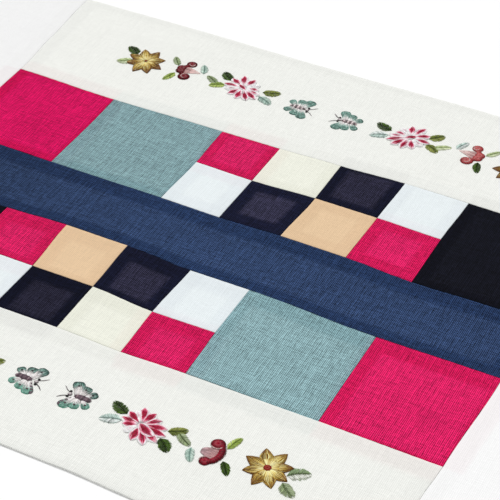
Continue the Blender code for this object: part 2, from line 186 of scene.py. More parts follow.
def cloth_top(x, y, edge):
    """Height of the cloth's face, from its place and its distance to the piece's own edge."""
    pucker = np.sin(x * 0.83 + 1.7 * np.sin(y * 0.31)) * np.sin(y * 0.79 + 1.3 * np.sin(x * 0.27))
    sunk = SINK * soft_step(SINK_START, SINK_REACH, edge)
    return THICKNESS - sunk + lie(x, y) + PUCKER_HEIGHT * pucker * np.exp(-edge / PUCKER_REACH)


# Points of a solid below this height are on its underside, and those alike to so many decimals are one
UNDERSIDE_BELOW = 0.01
DECIMALS = 3


def sides_of(node):
    """The four sides of a piece, each as points in order, read from the outline of its solid."""
    points = np.array([vert.co for vert in frame["nodes"][node].data.vertices]) / MM
    points = np.unique(np.round(points[points[:, 2] < UNDERSIDE_BELOW, :2], DECIMALS), axis=0)
    low, high = points.min(0), points.max(0)
    gap = np.minimum(points - low, high - points)
    total = points.sum(1)
    across = points[:, 0] - points[:, 1]
    near_left, far_right = points[total.argmin()], points[total.argmax()]
    near_right, far_left = points[across.argmax()], points[across.argmin()]
    along_x = gap[:, 1] < gap[:, 0]
    is_left, is_near = (points < (low + high) / 2).T

    def in_order(side, ends, axis):
        joined = np.unique(np.vstack([side, *ends]), axis=0)
        return joined[joined[:, axis].argsort()]

    return Sides(
        in_order(points[along_x & is_near], (near_left, near_right), 0),
        in_order(points[along_x & ~is_near], (far_left, far_right), 0),
        in_order(points[~along_x & is_left], (near_left, far_left), 1),
        in_order(points[~along_x & ~is_left], (near_right, far_right), 1),
    )


def even(width):
    """The same width on all four sides."""
    return Sides(width, width, width, width)


def turned_under(node):
    """How far each edge of a piece is turned under."""
    strip, _, kind = node.partition("_")
    for name in (node, strip, f"{strip}_{kind.rpartition('_')[2]}"):
        if name in TURNED_UNDER:
            return TURNED_UNDER[name]


# A place on a piece is found in so many rounds, because its x depends on its y and the other way about
ROUNDS = 8


def sides_beside(sides, x, y):
    """The y of the near and far sides at each x, and the x of the left and right sides at each y."""
    near, far = (np.interp(x, side[:, 0], side[:, 1]) for side in (sides.near, sides.far))
    left, right = (np.interp(y, side[:, 1], side[:, 0]) for side in (sides.left, sides.right))
    return Sides(near, far, left, right)


def spread(sides, s, t, inset):
    """Places on the piece: s from its left side to its right, t from near to far, inset from its sides."""
    x = sides.near[0, 0] + (sides.near[-1, 0] - sides.near[0, 0]) * s
    y = sides.left[0, 1] + (sides.left[-1, 1] - sides.left[0, 1]) * t
    for _ in range(ROUNDS):
        near, far, left, right = sides_beside(sides, x, y)
        near, far = near + inset.near, far - inset.far
        left, right = left + inset.left, right - inset.right
        x = left + (right - left) * s
        y = near + (far - near) * t
    return x, y


def distances(sides, x, y):
    """Distance of each place to the near, far, left and right side."""
    near, far, left, right = sides_beside(sides, x, y)
    return y - near, far - y, x - left, right - x


CLOTH_NODES = [node for node, slot in SLOTS.items() if slot.startswith("cloth_")]
SIDES = {node: sides_of(node) for node in CLOTH_NODES}


def cloth_at(x, y):
    """The colour of the cloth at one place, or None off the mat."""
    for node, sides in SIDES.items():
        if min(distances(sides, x, y)) > 0:
            return linear(*LOOKS[SLOTS[node]].colour)
    return None


# A neighbour's tint fades out over this width, and has the colour found that far past the shared edge
TINT_FADE = 3.0


def show_through(node, x, y):
    """The cloth's colour at each place, tinted by the turned-in edges of the pieces beside it."""
    look = LOOKS[SLOTS[node]]
    # Painted light and shade for the whole piece, and its darkening along X
    own = linear(*look.colour) * PAINTED_LIGHT_SHARES.get(node, 1)
    places, shares = zip(*SHARES_ALONG_X.get(node, EVEN_ALONG_X))
    colour = own * np.interp(x, places, shares)[:, None]
    if not look.tint:
        return colour
    steps = ((0, -1), (0, 1), (-1, 0), (1, 0))
    for away, width, (step_x, step_y) in zip(distances(SIDES[node], x, y), turned_under(node), steps):
        share = look.tint * (1 - soft_step(width, width + TINT_FADE, away))
        for index in np.nonzero(share > 0)[0]:
            reach = away[index] + TINT_FADE
            beside = cloth_at(x[index] + step_x * reach, y[index] + step_y * reach)
            if beside is not None:
                colour[index] += share[index] * (beside - own)
    return colour


def add_mesh(name, points, faces, colours, attribute, single=None):
    """A smooth mesh of quads, with its colours and how far each point is past the turned-under cloth."""
    mesh = bpy.data.meshes.new(name)
    mesh.from_pydata((points * MM).tolist(), [], faces.tolist())
    mesh.shade_smooth()
    store = mesh.attributes.new(attribute, "FLOAT_COLOR", "POINT")
    rgba = np.ones((len(points), 4), np.float32)
    rgba[:, :3] = colours
    store.data.foreach_set("color", rgba.ravel())
    if single is not None:
        store = mesh.attributes.new("single", "FLOAT", "POINT")
        store.data.foreach_set("value", single.astype(np.float32))
    bm = bmesh.new()
    bm.from_mesh(mesh)
    bmesh.ops.recalc_face_normals(bm, faces=bm.faces)
    bm.to_mesh(mesh)
    bm.free()
    piece = bpy.data.objects.new(name, mesh)
    bpy.context.scene.collection.objects.link(piece)
    return piece


# The fold round the edge, from the face down: how far in from the edge each ring lies, and its height
# where 1 is the face
Ring = namedtuple("Ring", "inset height")
FOLD = [Ring(even(0.14), 0.94), Ring(even(0.0), 0.62), Ring(even(0.10), 0.14), Ring(even(0.50), 0.0)]
FACE_INSET = even(0.36)
INNER_INSET = even(0.75)

# A grid over a piece: each point's share of its width and of its depth, the rim's points in order, and the
# quads between the points
Grid = namedtuple("Grid", "s t rim quads")


def grid_over(width, depth):
    """A grid for a piece of that size."""
    columns = max(FEWEST_CELLS, round(width / GRID_SPACING))
    rows = max(FEWEST_CELLS, round(depth / GRID_SPACING))
    t, s = np.meshgrid(np.linspace(0, 1, rows + 1), np.linspace(0, 1, columns + 1), indexing="ij")
    index = np.arange(s.size).reshape(s.shape)
    rim = np.concatenate([index[0, :-1], index[:-1, -1], index[-1, :0:-1], index[:0:-1, 0]])
    quads = np.stack([index[:-1, :-1], index[:-1, 1:], index[1:, 1:], index[1:, :-1]], -1)
    return Grid(s.ravel(), t.ravel(), rim, quads.reshape(-1, 4))


def stand_for(piece, node):
    """Puts a piece in the place of its solid, in its own material."""
    piece.data.materials.append(MATERIALS[SLOTS[node]])
    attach(piece, BODY)
    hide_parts(node)


def add_sheet(node):
    """One cut piece of cloth as a closed thin sheet with its edges turned under, and its flat size."""
    sides = SIDES[node]
    turned = turned_under(node)
    rings = FOLD + [Ring(turned, 0.0), Ring(turned, PLY / THICKNESS), Ring(INNER_INSET, PLY / THICKNESS)]
    width = sides.near[-1, 0] - sides.near[0, 0]
    depth = sides.left[-1, 1] - sides.left[0, 1]
    s, t, rim, quads = grid_over(width, depth)

    def layer(s_values, t_values, inset):
        x, y = spread(sides, s_values, t_values, Sides(*(side - PAST_SOLID for side in inset)))
        return x, y, cloth_top(x, y, np.clip(np.min(distances(sides, x, y), 0) + PAST_SOLID, 0, None))

    layers = [layer(s, t, FACE_INSET)]
    for ring in rings:
        x, y, top = layer(s[rim], t[rim], ring.inset)
        layers.append((x, y, top * ring.height))
    x, y, top = layer(s, t, INNER_INSET)
    layers.append((x, y, top - PLY))
    points = np.vstack([np.stack(part, -1) for part in layers])
    past = [away - reach for away, reach in zip(distances(sides, points[:, 0], points[:, 1]), turned)]
    starts = len(s) + len(rim) * np.arange(len(rings) + 1)
    loops = [rim, *(starts[:-1, None] + np.arange(len(rim))), starts[-1] + rim]
    strips = [np.stack([upper, lower, np.roll(lower, -1), np.roll(upper, -1)], -1)
              for upper, lower in zip(loops, loops[1:])]
    faces = np.vstack([quads, *strips, quads[:, ::-1] + starts[-1]])
    colours = show_through(node, points[:, 0], points[:, 1])
    piece = add_mesh(f"{node}_cloth", points, faces, colours, "dye", np.min(past, 0))
    stand_for(piece, node)
    cut = (width + turned.left + turned.right, depth + turned.near + turned.far)
    return piece, tuple(length * MM for length in cut)


# Materials


def add_node(tree, kind, inputs=(), **settings):
    """A shader node with its settings and its inputs, each a value or another node's output."""
    made = tree.nodes.new("ShaderNode" + kind)
    for name, value in settings.items():
        setattr(made, name, value)
    for key, value in dict(inputs).items():
        if isinstance(value, bpy.types.NodeSocket):
            tree.links.new(value, made.inputs[key])
        else:
            made.inputs[key].default_value = value
    return made


def calculate(tree, operation, *values):
    """The output of a node that works on plain values."""
    return add_node(tree, "Math", dict(enumerate(values)), operation=operation).outputs[0]


def new_material(name, roughness, **shader_values):
    """A material, its node tree and its shader, with values set on the shader's own sockets."""
    made = bpy.data.materials.new(name)
    made.use_nodes = True
    shader = made.node_tree.nodes["Principled BSDF"]
    shader.inputs["Roughness"].default_value = roughness
    for key, value in shader_values.items():
        shader.inputs[key.replace("_", " ")].default_value = value
    return made, made.node_tree, shader


# Uneven threads: how much the noise is drawn out along X and along Y, per metre, and its share
Streak = namedtuple("Streak", "along_x along_y share")
STREAKS = [
    Streak(820.0, 110.0, 0.32),
    Streak(130.0, 980.0, 0.24),
    Streak(420.0, 9.0, 0.18),
    Streak(9.0, 480.0, 0.10),
    Streak(820.0, 1050.0, 0.36),
]

# The weave's threads: how far apart along X and along Y, how strong, and how much they waver
THREAD_PITCHES = (0.00120, 0.00104)
THREAD_STRENGTH = 0.85
THREAD_WAVER = 5.0

# The cloth's tone: how much the uneven threads and the slow clouds count in it, and the least it can be
UNEVEN_GAIN = 3.0
CLOUD_SCALE = 22.0
CLOUD_DETAIL = 3.0
CLOUD_GAIN = 0.4
LEAST_TONE = 0.1

# The edge of the double cloth: how far it strays with the uneven threads, and where its tone fades
EDGE_STRAY = 3.6
FADE_FROM = -2.6
FADE_TO = 2.2

# The relief of the threads, and the cloth's surface
UNEVEN_RELIEF = 2.0
WEAVE_RELIEF = 0.5
CLOTH_BUMP = 0.6
CLOTH_BUMP_DEPTH = 0.00016
CLOTH_ROUGHNESS = 0.9
CLOTH_GLOSS = 0.06


def streak_noise(tree, x, y, streak, level):
    """Noise drawn out along the threads, from about -0.5 to 0.5, and another one at each level."""
    place = add_node(tree, "CombineXYZ", {
        0: calculate(tree, "MULTIPLY", x, streak.along_x),
        1: calculate(tree, "MULTIPLY", y, streak.along_y),
        2: level,
    })
    noise = add_node(tree, "TexNoise", {"Vector": place.outputs[0], "Scale": 1.0, "Detail": 1.0})
    return calculate(tree, "SUBTRACT", noise.outputs[0], 0.5)


def cloth_material(slot):
    """Sheer plain weave: fine crossing threads, uneven ones among them, and a deeper tone where double."""
    look = LOOKS[slot]
    made, tree, shader = new_material(f"{slot}_look", CLOTH_ROUGHNESS, Specular_IOR_Level=CLOTH_GLOSS)
    place = add_node(tree, "TexCoord").outputs["Object"]
    split = add_node(tree, "SeparateXYZ", {0: place})
    x, y = split.outputs[0], split.outputs[1]
    noises = [streak_noise(tree, x, y, streak, 3.0 * number) for number, streak in enumerate(STREAKS)]
    uneven = 0.0
    for noise, streak in zip(noises, STREAKS):
        uneven = calculate(tree, "MULTIPLY_ADD", noise, streak.share, uneven)
    weave = 0.0
    for value, pitch, noise in zip((x, y), THREAD_PITCHES, noises):
        waver = calculate(tree, "MULTIPLY", noise, THREAD_WAVER)
        turn = calculate(tree, "MULTIPLY_ADD", value, math.tau / pitch, waver)
        weave = calculate(tree, "MULTIPLY_ADD", calculate(tree, "SINE", turn), THREAD_STRENGTH, weave)
    cloud = add_node(tree, "TexNoise", {"Vector": place, "Scale": CLOUD_SCALE, "Detail": CLOUD_DETAIL})
    tone = calculate(tree, "MULTIPLY_ADD", uneven, UNEVEN_GAIN * look.slub, 1.0)
    tone = calculate(tree, "MULTIPLY_ADD", weave, look.weave, tone)
    cloud = calculate(tree, "SUBTRACT", cloud.outputs[0], 0.5)
    tone = calculate(tree, "MULTIPLY_ADD", cloud, CLOUD_GAIN * look.slub, tone)
    tone = calculate(tree, "MAXIMUM", tone, LEAST_TONE)
    past = add_node(tree, "Attribute", attribute_name="single").outputs["Fac"]
    past = calculate(tree, "MULTIPLY_ADD", uneven, EDGE_STRAY, past)
    single = add_node(tree, "MapRange", {"Value": past, "From Min": FADE_FROM, "From Max": FADE_TO},
                      interpolation_type="SMOOTHSTEP").outputs[0]
    depth = add_node(tree, "VectorMath", {
        0: tuple(1 - share for share in look.double), "Scale": calculate(tree, "SUBTRACT", single, 1.0),
    }, operation="SCALE").outputs[0]
    depth = add_node(tree, "VectorMath", {0: depth, 1: (1, 1, 1)}, operation="ADD").outputs[0]
    dye = add_node(tree, "Attribute", attribute_name="dye").outputs["Color"]
    mixed = add_node(tree, "VectorMath", {0: dye, 1: depth}, operation="MULTIPLY").outputs[0]
    colour = add_node(tree, "VectorMath", {0: mixed, "Scale": tone}, operation="SCALE").outputs[0]
    tree.links.new(colour, shader.inputs["Base Color"])
    relief = calculate(tree, "MULTIPLY", weave, WEAVE_RELIEF)
    relief = calculate(tree, "MULTIPLY_ADD", uneven, UNEVEN_RELIEF, relief)
    bump = add_node(tree, "Bump", {"Height": relief, "Strength": CLOTH_BUMP, "Distance": CLOTH_BUMP_DEPTH})
    tree.links.new(bump.outputs[0], shader.inputs["Normal"])
    return made


# The silk's surface, and the fine lines of its twist
SILK_ROUGHNESS = 0.38
SILK_GLOSS = 0.12
TWIST_SCALE = 2600.0
TWIST_DETAIL = 2.0
TWIST_TONE = 0.5
SILK_BUMP = 0.4
SILK_BUMP_DEPTH = 0.00006


def silk_material(slot):
    """Silk floss: the stitch's own colour, a soft gloss, and fine twist lines."""
    made, tree, shader = new_material(f"{slot}_look", SILK_ROUGHNESS, Specular_IOR_Level=SILK_GLOSS)
    place = add_node(tree, "TexCoord").outputs["Object"]
    dye = add_node(tree, "Attribute", attribute_name="silk").outputs["Color"]
    twist = add_node(tree, "TexNoise", {"Vector": place, "Scale": TWIST_SCALE, "Detail": TWIST_DETAIL})
    twist = twist.outputs[0]
    tone = calculate(tree, "MULTIPLY_ADD", calculate(tree, "SUBTRACT", twist, 0.5), TWIST_TONE, 1.0)
    colour = add_node(tree, "VectorMath", {0: dye, "Scale": tone}, operation="SCALE").outputs[0]
    tree.links.new(colour, shader.inputs["Base Color"])
    bump = add_node(tree, "Bump", {"Height": twist, "Strength": SILK_BUMP, "Distance": SILK_BUMP_DEPTH})
    tree.links.new(bump.outputs[0], shader.inputs["Normal"])
    return made


MATERIALS = {slot: cloth_material(slot) if slot in LOOKS else silk_material(slot)
             for slot in sorted(set(SLOTS.values()))}


# The silk's colours, as 0 to 255 in sRGB
CRIMSON = (166, 0, 52)
ROSE = (218, 46, 102)
PINK = (240, 158, 180)
BLUSH = (249, 228, 234)
SILK_WHITE = (253, 250, 249)
# Partly painted highlight: the shine that the silk catches
PALE_GOLD_AND_SHINE = (244, 232, 170)
GOLD_LIGHT = (216, 190, 100)
GOLD = (172, 136, 46)
BRONZE = (128, 88, 14)
BROWN = (104, 62, 14)
RUST = (142, 40, 24)
WINE_DARK = (88, 6, 18)
WINE = (124, 16, 30)
WINE_RED = (164, 28, 52)
WINE_LIGHT = (160, 54, 58)
WINE_PALE = (192, 100, 98)
DUSTY_PINK = (204, 156, 154)
BEIGE = (226, 204, 198)
TEAL_GREEN = (48, 134, 108)
DEEP_TEAL = (60, 102, 92)
TEAL_PALE = (158, 196, 184)
SLATE = (58, 72, 68)
MAUVE_DARK = (80, 58, 66)
MAUVE = (112, 94, 104)
DUSTY_MAUVE = (176, 148, 152)
VEIN = (104, 104, 104)
INK = (34, 32, 34)
MIST = (236, 230, 228)

# A leaf's colours: along its rib, over its two halves, and at its edge
LeafShade = namedtuple("LeafShade", "rib upper lower edge")
LEAF_SHADES = {
    "dark": LeafShade((34, 52, 6), (64, 94, 14), (44, 68, 6), (96, 128, 40)),
    "yellow": LeafShade((112, 134, 44), (182, 202, 106), (150, 172, 76), (206, 216, 148)),
    "olive": LeafShade((78, 92, 24), (142, 150, 72), (112, 124, 46), (176, 182, 108)),
    "sage": LeafShade((104, 122, 76), (170, 184, 146), (152, 168, 124), (196, 206, 174)),
    "aqua": LeafShade((128, 162, 150), (200, 220, 208), (174, 198, 186), (216, 230, 222)),
    "mist": LeafShade((160, 184, 176), (236, 244, 240), (204, 224, 216), (158, 186, 176)),
    "pale": LeafShade((160, 180, 112), (218, 228, 190), (194, 208, 156), (232, 238, 210)),
    "twin": LeafShade((98, 116, 72), (144, 166, 122), (242, 244, 232), (140, 162, 120)),
}

# A pointed form to fill with stitches: from base to tip, its greatest width and its sideways bend
Form = namedtuple("Form", "base_x base_y tip_x tip_y width bend")
LEAVES = {
    "far star": [
        Form(-9.8, -3.0, -21.4, -10.6, 9.6, 0.8),
        Form(-11.0, 5.2, -22.8, 14.0, 9.6, -0.8),
    ],
    "near star": [
        Form(-13.4, 0.6, -27.0, -7.8, 11.6, 1.0),
        Form(-13.6, 7.0, -25.6, 15.8, 9.6, -0.8),
    ],
    "fungus": [
        Form(-7.6, 3.8, -15.8, 14.6, 6.4, 0.5),
        Form(-5.4, -6.8, -9.6, -20.6, 6.6, 0.6),
        Form(15.6, 2.0, 10.0, 14.4, 6.6, -0.6),
    ],
    "dahlia": [
        Form(-13.0, 5.0, -23.4, 14.6, 9.4, 0.6),
        Form(-14.4, -2.8, -26.0, -9.8, 8.8, -0.8),
        Form(-21.0, -5.4, -33.4, 2.8, 7.2, -0.6),
        Form(16.0, -5.0, 29.6, -12.0, 9.2, 0.8),
        Form(16.4, 1.8, 30.4, 7.2, 9.8, -0.8),
    ],
}

# Which shade each leaf has, in the order of the table above
Shades = namedtuple("Shades", "star fungus dahlia")
GARLAND_SHADES = {
    ("far", "left"): Shades("pale dark", "sage yellow aqua", "dark yellow sage aqua olive"),
    ("far", "right"): Shades("sage dark", "pale dark mist", "olive olive pale mist dark"),
    ("near", "left"): Shades("twin sage", "dark yellow aqua", "dark olive sage olive mist"),
    ("near", "right"): Shades("twin sage", "dark yellow aqua", "dark olive sage dark mist"),
}

# Half width along a form, as shares of its greatest half width
Ribs = namedtuple("Ribs", "along width")
LEAF_RIBS = Ribs((0, 0.08, 0.25, 0.5, 0.75, 0.92, 1), (0.14, 0.54, 0.90, 1.0, 0.84, 0.46, 0.06))
STAR_RIBS = Ribs((0, 0.25, 0.54, 0.78, 1), (0.10, 0.52, 1.0, 0.58, 0.04))
DAHLIA_RIBS = Ribs((0, 0.3, 0.58, 0.76, 0.9, 1), (0.30, 0.70, 1.0, 0.84, 0.46, 0.06))
WING_RIBS = Ribs((0, 0.3, 0.55, 0.75, 0.9, 0.97, 1), (0.42, 0.62, 0.88, 1.0, 0.80, 0.46, 0.16))
STEM_RIBS = {
    "far": Ribs((0, 0.25, 0.55, 0.8, 1), (1.0, 0.96, 0.66, 0.32, 0.05)),
    "near": Ribs((0, 0.25, 0.55, 0.8, 1), (1.0, 0.98, 0.84, 0.64, 0.34)),
}

# Rows of long-and-short stitches from tip to base, each from one share of the length to another, and each
# a little over the row before
Row = namedtuple("Row", "outer inner")
PETAL_ROWS = [Row(1.0, 0.62), Row(0.76, 0.36), Row(0.48, 0.02)]
ROW_LIFT = 0.04

# The fewest stitches in such a row, how near a form's edges they come, and how unevenly they lie, start and
# end
FEWEST_IN_ROW = 3
ROW_REACH = 0.93
ROW_STRAY = 0.02
OUTER_STRAY = (-0.07, 0.04)
INNER_STRAY = (-0.08, 0.05)

# How far each kind of stitch strays through its form's colours
ROW_SHIFT = 0.10
LEAF_SHIFT = 0.16
ACROSS_SHIFT = 0.08
CURL_SHIFT = 0.12

# How full the padding is at the edges of a form, and where it rises from the base and from the tip
EDGE_FULLNESS = 0.12
BASE_RISE = (-0.12, 0.2)
TIP_RISE = (-0.1, 0.16)

# How unevenly dyed and how unevenly thick the stitches are, their taper, and the limits of their light
SHARED_STREAK = 0.16
OWN_STREAK = 0.13
WIDTH_STRAY = 0.12
TAPER = np.array([0.5, 1, 1, 1, 0.5])
DYE_LIMITS = (0.002, 0.98)

# How high the padding stands under each kind of form
LEAF_PAD = 0.55
PETAL_PAD = 0.75
HEART_PAD = STEM_PAD = WING_PAD = 0.5
CURL_PAD = BODY_PAD = 0.8
EYE_PAD = 0.3
SPOT_PAD = 0.1


def blend(stops, value):
    """A colour from a table of (value, colour) rows, in linear values."""
    places = [place for place, _ in stops]
    colours = np.array([linear(*colour) for _, colour in stops])
    return np.stack([np.interp(value, places, colours[:, channel]) for channel in range(3)], -1)


def on_form(form, ribs, a, b):
    """Places on a form: a from base to tip, b from one edge, -1, to the other, 1."""
    base = np.array([form.base_x, form.base_y])
    along = np.array([form.tip_x, form.tip_y]) - base
    side = np.array([-along[1], along[0]]) / np.linalg.norm(along)
    aside = b * np.interp(a, ribs.along, ribs.width) * form.width / 2 + form.bend * 4 * a * (1 - a)
    return base + along * a[..., None] + side * aside[..., None]


def count_along(form):
    """How many stitches lie side by side from a form's base to its tip."""
    return round(math.hypot(form.tip_x - form.base_x, form.tip_y - form.base_y) / STITCH_PITCH)


def crown(a, b, height):
    """Padding under the stitches: full along the middle, low at the edges and ends."""
    across = np.sqrt(np.clip(1 - b * b, EDGE_FULLNESS, 1))
    return height * across * soft_step(*BASE_RISE, a) * soft_step(*TIP_RISE, 1 - a)


def streaks(count, draw):
    """How light or dark each stitch is: neighbours are alike, as they come from one length of silk."""
    alike = np.convolve(draw.standard_normal(count + 2), (0.6, 0.6, 0.6), "valid")
    return 1 + SHARED_STREAK * alike + OWN_STREAK * draw.standard_normal(count)


def stitches(places, heights, colours, draw, width=THREAD_WIDTH):
    """Stitches through the stations given, with their ends drawn down into the cloth."""
    count = len(heights)
    heights = heights.copy()
    heights[:, [0, -1]] -= STITCH_DIP
    widths = width * (1 + WIDTH_STRAY * draw.standard_normal((count, 1))) * TAPER
    colours = np.clip(colours * streaks(count, draw)[:, None, None], *DYE_LIMITS)
    return np.concatenate([places, heights[..., None]], -1), widths, colours


def fill_along(form, ribs, height, colour_at, draw, lift=0.0):
    """Long-and-short stitches along a form, in rows that overlap."""
    made = []
    count = max(FEWEST_IN_ROW, round(form.width / STITCH_PITCH))
    for number, row in enumerate(PETAL_ROWS):
        b = np.linspace(-ROW_REACH, ROW_REACH, count) + draw.uniform(-ROW_STRAY, ROW_STRAY, count)
        outer = np.clip(row.outer + draw.uniform(*OUTER_STRAY, count), 0, 1)
        inner = np.clip(row.inner + draw.uniform(*INNER_STRAY, count), 0, 1)
        a = outer[:, None] + (inner - outer)[:, None] * ALONG
        b = np.repeat(b[:, None], STATIONS, 1)
        heights = crown(a, b, height) + lift + ROW_LIFT * number
        shift = draw.normal(0, ROW_SHIFT, count)[:, None]
        made.append(stitches(on_form(form, ribs, a, b), heights, colour_at(a, b, shift), draw))
    return made


# A line of stitches: how many it has, how long each is as a share of the line, and its lift
LINE_STITCHES = 4
LINE_STITCH = 0.26
LINE_LIFT = 0.12


def trace(form, ribs, b, span, colour, height, draw):
    """A line of end-to-end stitches along a form, b of the way to its edge."""
    start = np.linspace(*span, LINE_STITCHES + 1)[:-1, None]
    a = start + (span[1] - span[0]) * LINE_STITCH * ALONG
    b = np.full_like(a, b)
    colours = blend([(0, colour), (1, colour)], b)
    return [stitches(on_form(form, ribs, a, b), crown(a, b, height) + LINE_LIFT, colours, draw)]


# A leaf's stitches: where the last one starts, how far along the leaf each runs, how near the rib it starts
# and the edge it comes, how unevenly it does both, and where the leaf's colours lie from rib to edge
LEAF_LAST = 0.84
LEAF_SLANT = 0.19
LEAF_START = 0.03
LEAF_REACH = 0.97
START_STRAY = 0.008
REACH_STRAY = (-0.20, 0.10)
LEAF_PLACES = (0.0, 0.3, 0.75, 1.05)
RIB_SPAN = (0.0, 0.93)


def fill_leaf(form, shade, height, draw):
    """Slanting stitches from a leaf's rib out to its edge on both halves, and the rib over them."""
    made = []
    count = count_along(form)
    for side, middle in ((1, shade.upper), (-1, shade.lower)):
        start = np.linspace(0.0, LEAF_LAST, count) + draw.uniform(-START_STRAY, START_STRAY, count)
        a = np.clip(start[:, None] + LEAF_SLANT * ALONG, 0, 1)
        reach = LEAF_REACH + draw.uniform(*REACH_STRAY, count)[:, None]
        b = side * reach * (LEAF_START + (1 - LEAF_START) * ALONG)
        stops = list(zip(LEAF_PLACES, (shade.rib, middle, middle, shade.edge)))
        colours = blend(stops, np.abs(b) + draw.normal(0, LEAF_SHIFT, count)[:, None])
        made.append(stitches(on_form(form, LEAF_RIBS, a, b), crown(a, b, height), colours, draw))
    return made + trace(form, LEAF_RIBS, 0.0, RIB_SPAN, shade.rib, height, draw)


# Where straight stitches across a form start and end along it, and how near its edges they come
ACROSS_SPAN = (0.03, 0.97)
ACROSS_REACH = 0.97


def fill_across(form, ribs, height, colour_at, draw, lift=0.0):
    """Satin stitches straight across a form."""
    count = count_along(form)
    a = np.repeat(np.linspace(*ACROSS_SPAN, count)[:, None], STATIONS, 1)
    b = np.repeat(np.linspace(-ACROSS_REACH, ACROSS_REACH, STATIONS)[None], count, 0)
    shift = draw.normal(0, ACROSS_SHIFT, count)[:, None]
    heights = crown(a, b, height) + lift
    return [stitches(on_form(form, ribs, a, b), heights, colour_at(a, b, shift), draw)]


# A round or curled band of stitches about a centre, between two radii, over part of a turn in degrees. A
# curl with a smaller hole than this is a dome, and others are full along their middle.
Curl = namedtuple("Curl", "x y inner outer start sweep")
DOME_HOLE = 0.5
DOME_EDGE = 0.04
RADIUS_STRAY = 0.015
FEWEST_IN_CURL = 5
FULL_TURN = 360


def disc(x, y, radius, hole=0.2):
    """A curl that goes all the way round."""
    return Curl(x, y, hole, radius, 0, FULL_TURN)


def fill_curl(curl, height, colour_at, draw, lift=0.0, slim=0.0):
    """Satin stitches across a curl, from its inner edge to its outer edge, slimmer at its ends."""
    sweep = math.radians(curl.sweep)
    count = max(FEWEST_IN_CURL, round(sweep * curl.outer / STITCH_PITCH))
    turned = ((np.arange(count) + 0.5) / count)[:, None]
    angle = math.radians(curl.start) + sweep * turned
    share = ALONG[None]
    inner = curl.inner + slim * (curl.outer - curl.inner) * (2 * turned - 1) ** 2
    radius = inner + (curl.outer - inner) * share
    radius = radius * (1 + draw.normal(0, RADIUS_STRAY, count)[:, None] * share)
    places = np.stack([curl.x + radius * np.cos(angle), curl.y + radius * np.sin(angle)], -1)
    across = share if curl.inner < DOME_HOLE else 2 * share - 1
    fullness = np.sqrt(np.clip(1 - across ** 2, DOME_EDGE, 1))
    heights = np.repeat(height * fullness + lift, count, 0)
    shift = draw.normal(0, CURL_SHIFT, count)[:, None]
    return [stitches(places, heights, colour_at(share + 0 * angle, angle, shift), draw)]


def plain(colour, other=None):
    """A colouring from one colour to another along or across a form."""
    def colour_at(a, b, shift):
        return blend([(0, colour), (1, other or colour)], a + shift + 0 * b)
    return colour_at


# The golds of a star petal, from its base to its tip, how much a stitch's stray counts among them, and how
# much deeper they are towards the edges, from this share of the way
# The palest gold is partly paler silk and partly painted highlight, the shine of the satin stitches
GOLDS = [(0.18, PALE_GOLD_AND_SHINE), (0.44, GOLD_LIGHT), (0.64, GOLD), (0.82, BRONZE), (1.02, BROWN)]
GOLD_STRAY = 2.4
GOLD_EDGE = 0.7
GOLD_EDGE_FROM = 0.45


def gold_at(deeper):
    """Star petals: pale gold and painted shine by the heart, bronze at the tip and along the edges."""
    def colour_at(a, b, shift):
        edge = GOLD_EDGE * np.clip(np.abs(b) - GOLD_EDGE_FROM, 0, None)
        return blend(GOLDS, a + GOLD_STRAY * shift + deeper + edge)
    return colour_at


# The crimson core of a dahlia petal: where its middle is from base to tip, and its half length and breadth
Core = namedtuple("Core", "middle length breadth")

# The petal's colours, from the middle of its core outwards, where 1 is about the core's edge, and how much
# a stitch's stray and a shallow core count among them
PINKS = [(0.0, CRIMSON), (0.72, CRIMSON), (0.95, ROSE), (1.15, PINK), (1.4, BLUSH), (1.9, SILK_WHITE)]
PINK_STRAY = 2.2
SHALLOW = 1.3


def dahlia_at(core, depth):
    """Dahlia petals: a crimson core that fades to white edges, or a nearly white petal."""
    def colour_at(a, b, shift):
        away = np.hypot((a - core.middle) / core.length, b / core.breadth)
        return blend(PINKS, away + PINK_STRAY * shift + SHALLOW * (1 - depth))
    return colour_at


# A wing's veins are the stitches that stray further than this through its colours. They take on this share
# of the veins' colour, and less towards the tip.
VEIN_FROM = 0.10
VEIN_SHARE = 0.65
VEIN_END = 1.15

# How much a stitch's stray and the nearness of the edge count among a wing's colours
WING_STRAY = 0.8
WING_EDGE = 0.14


def wing_at(stops):
    """Wings: bands from the body out to the scalloped edge, with darker veins here and there."""
    def colour_at(a, b, shift):
        vein = (VEIN_SHARE * (shift > VEIN_FROM) * np.clip(VEIN_END - a, 0, 1))[..., None]
        colour = blend(stops, a + WING_STRAY * shift + WING_EDGE * np.abs(b))
        return colour + vein * (linear(*VEIN) - colour)
    return colour_at


# How fast the bands follow each other from one end of the body to the other, in radians
BAND_TURN = 26.0


def body_at(body):
    """The butterfly's body, in bands from dark to light."""
    stops = list(zip((0.0, 0.5, 1.0), body.bands))

    def colour_at(a, b, shift):
        band = 0.5 + 0.5 * body.contrast * np.sin(a * BAND_TURN)
        return blend(stops, band * (1 - 0.5 * np.abs(b)) + 1.5 * shift)
    return colour_at


def ring_of_forms(angles, inner, reaches, width, heart=0.0):
    """Petal forms round a heart, which may stand aside along the garland, each bent in its own way."""
    forms = []
    for angle, reach in zip(angles, reaches):
        x, y = math.cos(math.radians(angle)), math.sin(math.radians(angle))
        base = (heart + inner * x, inner * y)
        tip = (heart + reach * x, reach * y)
        forms.append(Form(*base, *tip, width, 0.3 * math.sin(angle)))
    return forms


